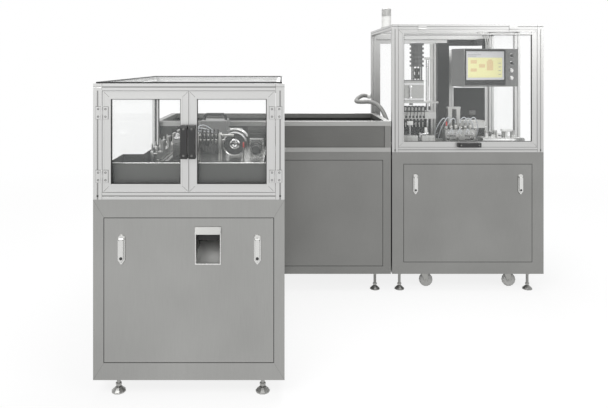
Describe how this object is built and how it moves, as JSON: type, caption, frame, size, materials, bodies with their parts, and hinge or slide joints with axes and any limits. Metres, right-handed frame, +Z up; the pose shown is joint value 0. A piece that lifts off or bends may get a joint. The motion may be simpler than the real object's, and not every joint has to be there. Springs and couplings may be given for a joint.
{
  "type": "suppository making machine",
  "caption": "L-shaped suppository packing line: glazed sealing module, low cooling module and glazed forming and filling module on steel cabinets.",
  "frame": {"origin": "on the floor at the middle of the machine's footprint box", "axes": "+X to the right along the cooling and forming modules, +Y to the back, +Z up"},
  "size_m": [2.573, 2.348, 1.9063],
  "materials": {
    "brushed_steel": "brushed stainless sheet",
    "aluminium": "satin anodised profile",
    "clear_pane": "clear",
    "black_plastic": "matt black",
    "white_plastic": "light grey plastic",
    "grey_wheel": "grey polyurethane",
    "screen": "lit screen",
    "grey_hose": "ribbed conduit",
    "dark_paint": "dark grey paint",
    "dark_sheet": "dark sheet"
  },
  "bodies": {
    "line_base": {"beacon": "white_plastic", "control_board": "dark_paint", "cooling_cabinet": "brushed_steel", "cooling_channel": "brushed_steel", "cooling_frame": "aluminium", "cooling_front_panel": "brushed_steel", "filling_stand": "aluminium", "forming_back_pane": "clear_pane", "forming_bed": "brushed_steel", "forming_cabinet": "brushed_steel", "forming_die_rear": "aluminium", "forming_frame": "aluminium", "forming_side_pane": "clear_pane", "hmi_arm": "dark_paint", "hopper_tank": "brushed_steel", "hose_conduit": "grey_hose", "reel_spindle": "brushed_steel", "sealing_bed": "brushed_steel", "sealing_cabinet": "brushed_steel", "sealing_frame": "aluminium", "sealing_side_pane_left": "clear_pane", "sealing_side_pane_right": "clear_pane", "sealing_top_pane": "clear_pane", "sealing_tub": "dark_sheet", "stirrer_motor": "dark_paint"},
    "door_left": {"door_frame_left": "aluminium", "door_pane_left": "clear_pane", "door_handle_left": "black_plastic"},
    "door_right": {"door_frame_right": "aluminium", "door_pane_right": "clear_pane", "door_handle_right": "black_plastic"},
    "sealing_panel": {"sealing_front_panel": "brushed_steel", "discharge_chute": "brushed_steel"},
    "sealing_latch_left": {"sealing_latch_left": "brushed_steel"},
    "sealing_latch_right": {"sealing_latch_right": "brushed_steel"},
    "sealing_jaw": {"sealing_jaw": "aluminium"},
    "cutter_drum": {"cutter_drum": "brushed_steel"},
    "gearing_cover": {"gearing_cover": "dark_paint"},
    "forming_panel": {"forming_front_panel": "brushed_steel"},
    "forming_latch_left": {"forming_latch_left": "brushed_steel"},
    "forming_latch_right": {"forming_latch_right": "brushed_steel"},
    "guard": {"guard_frame": "aluminium", "guard_pane": "clear_pane", "guard_handle": "black_plastic"},
    "caster_fork_left": {"caster_fork_left": "brushed_steel"},
    "caster_fork_right": {"caster_fork_right": "brushed_steel"},
    "caster_wheel_left": {"caster_wheel_left": "grey_wheel"},
    "caster_wheel_right": {"caster_wheel_right": "grey_wheel"},
    "rear_wheel_left": {"rear_wheel_left": "grey_wheel"},
    "rear_wheel_right": {"rear_wheel_right": "grey_wheel"},
    "operator_panel": {"hmi_box": "dark_paint", "hmi_screen": "screen"},
    "selector_upper": {"selector_upper": "black_plastic"},
    "selector_lower": {"selector_lower": "black_plastic"},
    "push_button_upper": {"push_button_upper": "white_plastic"},
    "push_button_lower": {"push_button_lower": "white_plastic"},
    "stirrer": {"stirrer": "brushed_steel"},
    "nozzle_head": {"nozzle_head": "aluminium"},
    "forming_die_front": {"forming_die_front": "brushed_steel"},
    "film_reel": {"film_reel": "white_plastic"}
  },
  "joints": [
    {"name": "door_left_hinge", "type": "hinge", "parent": "line_base", "child": "door_left", "pos_m": [-1.2465, -1.1385, 1.151], "axis": [0, 0, -1], "range_deg": [0, 165]},
    {"name": "door_right_hinge", "type": "hinge", "parent": "line_base", "child": "door_right", "pos_m": [-0.4665, -1.1385, 1.151], "axis": [0, 0, 1], "range_deg": [0, 165]},
    {"name": "sealing_panel_lift_off", "type": "slide", "parent": "line_base", "child": "sealing_panel", "axis": [0, -1, 0], "range_m": [0, 0.3]},
    {"name": "sealing_latch_left_flip", "type": "hinge", "parent": "sealing_panel", "child": "sealing_latch_left", "pos_m": [-1.1585, -1.1433, 0.715], "axis": [-1, 0, 0], "range_deg": [0, 50]},
    {"name": "sealing_latch_right_flip", "type": "hinge", "parent": "sealing_panel", "child": "sealing_latch_right", "pos_m": [-0.5485, -1.1433, 0.715], "axis": [-1, 0, 0], "range_deg": [0, 50]},
    {"name": "sealing_jaw_slide", "type": "slide", "parent": "line_base", "child": "sealing_jaw", "axis": [1, 0, 0], "range_m": [0, 0.012]},
    {"name": "cutter_drum_spin", "type": "hinge", "parent": "line_base", "child": "cutter_drum", "pos_m": [-0.6985, -0.494, 1.06], "axis": [0, 1, 0], "continuous": true},
    {"name": "gearing_cover_lift_off", "type": "slide", "parent": "line_base", "child": "gearing_cover", "axis": [0, 0, 1], "range_m": [0, 0.12]},
    {"name": "forming_panel_lift_off", "type": "slide", "parent": "line_base", "child": "forming_panel", "axis": [0, -1, 0], "range_m": [0, 0.3]},
    {"name": "forming_latch_left_flip", "type": "hinge", "parent": "forming_panel", "child": "forming_latch_left", "pos_m": [0.4405, 0.1647, 0.753], "axis": [-1, 0, 0], "range_deg": [0, 50]},
    {"name": "forming_latch_right_flip", "type": "hinge", "parent": "forming_panel", "child": "forming_latch_right", "pos_m": [1.1335, 0.1647, 0.753], "axis": [-1, 0, 0], "range_deg": [0, 50]},
    {"name": "guard_hinge", "type": "hinge", "parent": "line_base", "child": "guard", "pos_m": [0.7865, 0.1695, 1.727], "axis": [-1, 0, 0], "range_deg": [0, 85]},
    {"name": "caster_left_swivel", "type": "hinge", "parent": "line_base", "child": "caster_fork_left", "pos_m": [0.5085, 0.254, 0.112], "axis": [0, 0, 1], "continuous": true},
    {"name": "caster_right_swivel", "type": "hinge", "parent": "line_base", "child": "caster_fork_right", "pos_m": [1.0645, 0.254, 0.112], "axis": [0, 0, 1], "continuous": true},
    {"name": "caster_wheel_left_spin", "type": "hinge", "parent": "caster_fork_left", "child": "caster_wheel_left", "pos_m": [0.5265, 0.254, 0.05], "axis": [0, 1, 0], "continuous": true},
    {"name": "caster_wheel_right_spin", "type": "hinge", "parent": "caster_fork_right", "child": "caster_wheel_right", "pos_m": [1.0825, 0.254, 0.05], "axis": [0, 1, 0], "continuous": true},
    {"name": "rear_wheel_left_spin", "type": "hinge", "parent": "line_base", "child": "rear_wheel_left", "pos_m": [0.5265, 1.094, 0.05], "axis": [0, 1, 0], "continuous": true},
    {"name": "rear_wheel_right_spin", "type": "hinge", "parent": "line_base", "child": "rear_wheel_right", "pos_m": [1.0825, 1.094, 0.05], "axis": [0, 1, 0], "continuous": true},
    {"name": "operator_panel_swivel", "type": "hinge", "parent": "line_base", "child": "operator_panel", "pos_m": [1.0045, 0.504, 1.338], "axis": [0, 0, 1], "range_deg": [-35, 35]},
    {"name": "selector_upper_turn", "type": "hinge", "parent": "operator_panel", "child": "selector_upper", "pos_m": [1.18031, 0.46023, 1.556], "axis": [0.2419, -0.9703, 0], "range_deg": [-45, 45]},
    {"name": "selector_lower_turn", "type": "hinge", "parent": "operator_panel", "child": "selector_lower", "pos_m": [1.18031, 0.46023, 1.503], "axis": [0.2419, -0.9703, 0], "range_deg": [-45, 45]},
    {"name": "push_button_upper_press", "type": "slide", "parent": "operator_panel", "child": "push_button_upper", "axis": [-0.2419, 0.9703, 0], "range_m": [0, 0.004], "stiffness_N_per_m": 300},
    {"name": "push_button_lower_press", "type": "slide", "parent": "operator_panel", "child": "push_button_lower", "axis": [-0.2419, 0.9703, 0], "range_m": [0, 0.004], "stiffness_N_per_m": 300},
    {"name": "stirrer_spin", "type": "hinge", "parent": "line_base", "child": "stirrer", "pos_m": [0.5095, 0.454, 1.3793], "axis": [0, 0, 1], "continuous": true},
    {"name": "nozzle_head_lift", "type": "slide", "parent": "line_base", "child": "nozzle_head", "axis": [0, 0, 1], "range_m": [0, 0.02]},
    {"name": "forming_die_open", "type": "slide", "parent": "line_base", "child": "forming_die_front", "axis": [0, -1, 0], "range_m": [0, 0.02]},
    {"name": "film_reel_spin", "type": "hinge", "parent": "line_base", "child": "film_reel", "pos_m": [0.9765, 0.694, 1.0306], "axis": [0, 0, 1], "continuous": true}
  ]
}
